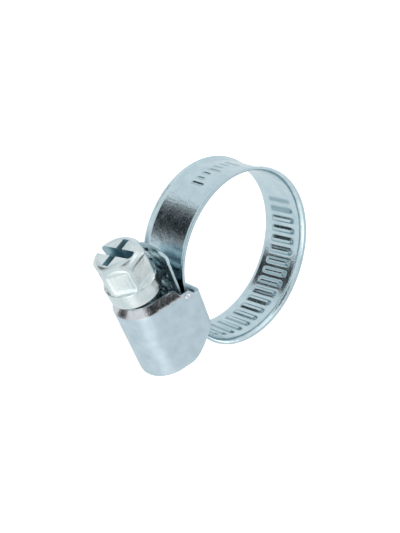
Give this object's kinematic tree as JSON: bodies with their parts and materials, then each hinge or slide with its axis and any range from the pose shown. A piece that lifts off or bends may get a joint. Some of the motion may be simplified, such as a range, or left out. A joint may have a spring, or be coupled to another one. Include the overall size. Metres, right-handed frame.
{
  "type": "hose clamp",
  "caption": "Worm-drive hose clamp: a grooved steel band loop, a rolled housing and a slotted hex-head screw that draws the band through it.",
  "frame": {"origin": "centre of the hose bore, half way across the band's width", "axes": "+Z along the hose bore, +Y from the bore's centre to the housing, +X along the band under the screw towards the screw's head"},
  "size_m": [0.0242, 0.0303, 0.0104],
  "materials": {
    "band_steel": "bright zinc plate, polished, faint rolling marks",
    "housing_steel": "bright zinc plate, satin",
    "screw_steel": "bright zinc plate, satin, slightly warmer"
  },
  "bodies": {
    "housing": {"housing": "housing_steel", "band_fixed_end": "band_steel"},
    "screw": {"worm_screw": "screw_steel"},
    "segment_01": {"band_link_01": "band_steel", "band_link_02": "band_steel", "band_link_03": "band_steel"},
    "segment_02": {"band_link_04": "band_steel", "band_link_05": "band_steel", "band_link_06": "band_steel"},
    "segment_03": {"band_link_07": "band_steel", "band_link_08": "band_steel", "band_link_09": "band_steel", "band_link_10": "band_steel"},
    "segment_04": {"band_link_11": "band_steel"},
    "segment_05": {"band_link_12": "band_steel"},
    "segment_06": {"band_link_13": "band_steel"},
    "tail": {"band_tail": "band_steel"}
  },
  "joints": [
    {"name": "screw_turn", "type": "hinge", "parent": "housing", "child": "screw", "pos_m": [0, 0.01495, 0], "axis": [-0.9976, -0.0698, 0], "range_deg": [0, 1080]},
    {"name": "band_bend_01", "type": "hinge", "parent": "housing", "child": "segment_01", "pos_m": [0.00466, 0.01051, 0], "axis": [0, 0, 1], "range_deg": [0, 4.91]},
    {"name": "band_bend_02", "type": "hinge", "parent": "segment_01", "child": "segment_02", "pos_m": [0.01129, -0.00363, 0], "axis": [0, 0, 1], "range_deg": [-9.68, 0]},
    {"name": "band_bend_03", "type": "hinge", "parent": "segment_02", "child": "segment_03", "pos_m": [-0.00303, -0.01071, 0], "axis": [0, 0, 1], "range_deg": [-5.64, 0]},
    {"name": "band_bend_04", "type": "hinge", "parent": "segment_03", "child": "segment_04", "pos_m": [-0.00875, 0.00788, 0], "axis": [0, 0, 1], "range_deg": [-7.71, 0]},
    {"name": "band_bend_05", "type": "hinge", "parent": "segment_04", "child": "segment_05", "pos_m": [-0.00619, 0.00995, 0], "axis": [0, 0, 1], "range_deg": [-4.38, 0]},
    {"name": "band_bend_06", "type": "hinge", "parent": "segment_05", "child": "segment_06", "pos_m": [-0.00314, 0.01119, 0], "axis": [0, 0, 1], "range_deg": [0, 14.12]},
    {"name": "tail_bend", "type": "hinge", "parent": "segment_06", "child": "tail", "pos_m": [0.00013, 0.01158, 0], "axis": [0, 0, 1], "range_deg": [0, 8.36]}
  ],
  "couplings": [
    {"joint": "band_bend_01", "follows": "screw_turn", "ratio": 0.0045387},
    {"joint": "band_bend_02", "follows": "screw_turn", "ratio": -0.0089558},
    {"joint": "band_bend_03", "follows": "screw_turn", "ratio": -0.0052106},
    {"joint": "band_bend_04", "follows": "screw_turn", "ratio": -0.0071318},
    {"joint": "band_bend_05", "follows": "screw_turn", "ratio": -0.0040428},
    {"joint": "band_bend_06", "follows": "screw_turn", "ratio": 0.013069},
    {"joint": "tail_bend", "follows": "screw_turn", "ratio": 0.0077337}
  ]
}
